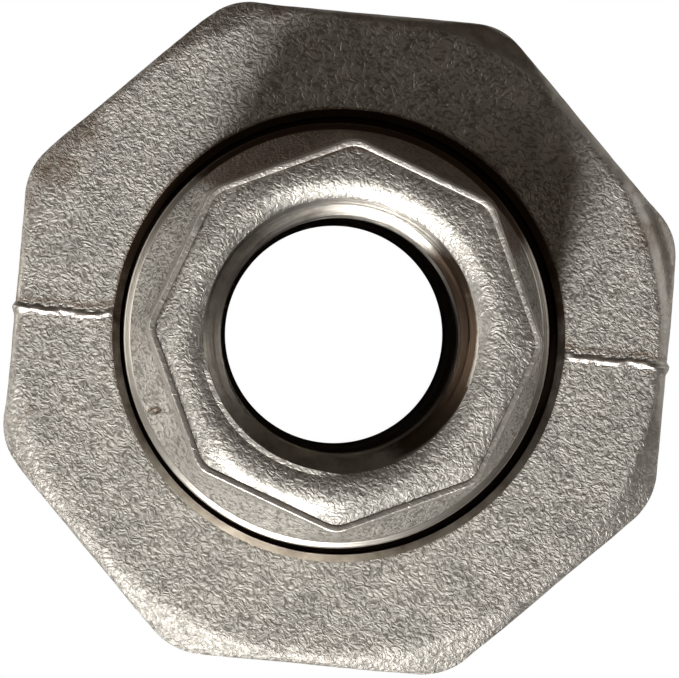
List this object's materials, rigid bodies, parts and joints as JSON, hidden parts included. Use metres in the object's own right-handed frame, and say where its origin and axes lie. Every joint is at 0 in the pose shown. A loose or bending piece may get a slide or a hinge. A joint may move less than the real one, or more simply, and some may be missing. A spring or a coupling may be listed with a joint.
{
  "type": "pipe union",
  "caption": "Three-part threaded pipe union with an octagonal nut, a swivelling tail, a threaded head and a flat ring seal; joins two pipes so that they can be parted again.",
  "frame": {"origin": "middle of the head's end face, on the pipe's axis, at the bottom of the part", "axes": "+Z along the pipe's axis from the head to the tail; +X square to one of the head's wrench flats"},
  "size_m": [0.0534, 0.0534, 0.0531],
  "materials": {
    "head_casting": "zinc-coated cast skin, fine orange-peel grain, turned thread and seat",
    "tail_casting": "zinc-coated cast skin, fine orange-peel grain, smooth worn edges",
    "nut_casting": "zinc-coated cast skin, fine orange-peel grain, turned hole",
    "seal_rubber": "moulded black rubber, matt"
  },
  "bodies": {
    "head": {"head_piece": "head_casting"},
    "seal": {"gasket": "seal_rubber"},
    "tail": {"tail_piece": "tail_casting"},
    "nut": {"union_nut": "nut_casting"}
  },
  "joints": [
    {"name": "union_opening", "type": "slide", "parent": "head", "child": "seal", "axis": [0, 0, 1], "range_m": [0, 0.00924]},
    {"name": "nut_turn", "type": "hinge", "parent": "seal", "child": "nut", "pos_m": [0, 0, 0], "axis": [0, 0, 1], "range_deg": [0, 1440]},
    {"name": "tail_swivel", "type": "hinge", "parent": "seal", "child": "tail", "pos_m": [0, 0, 0], "axis": [0, 0, 1], "continuous": true}
  ],
  "couplings": [
    {"joint": "union_opening", "follows": "nut_turn", "m_per_rad": 0.00036749}
  ]
}
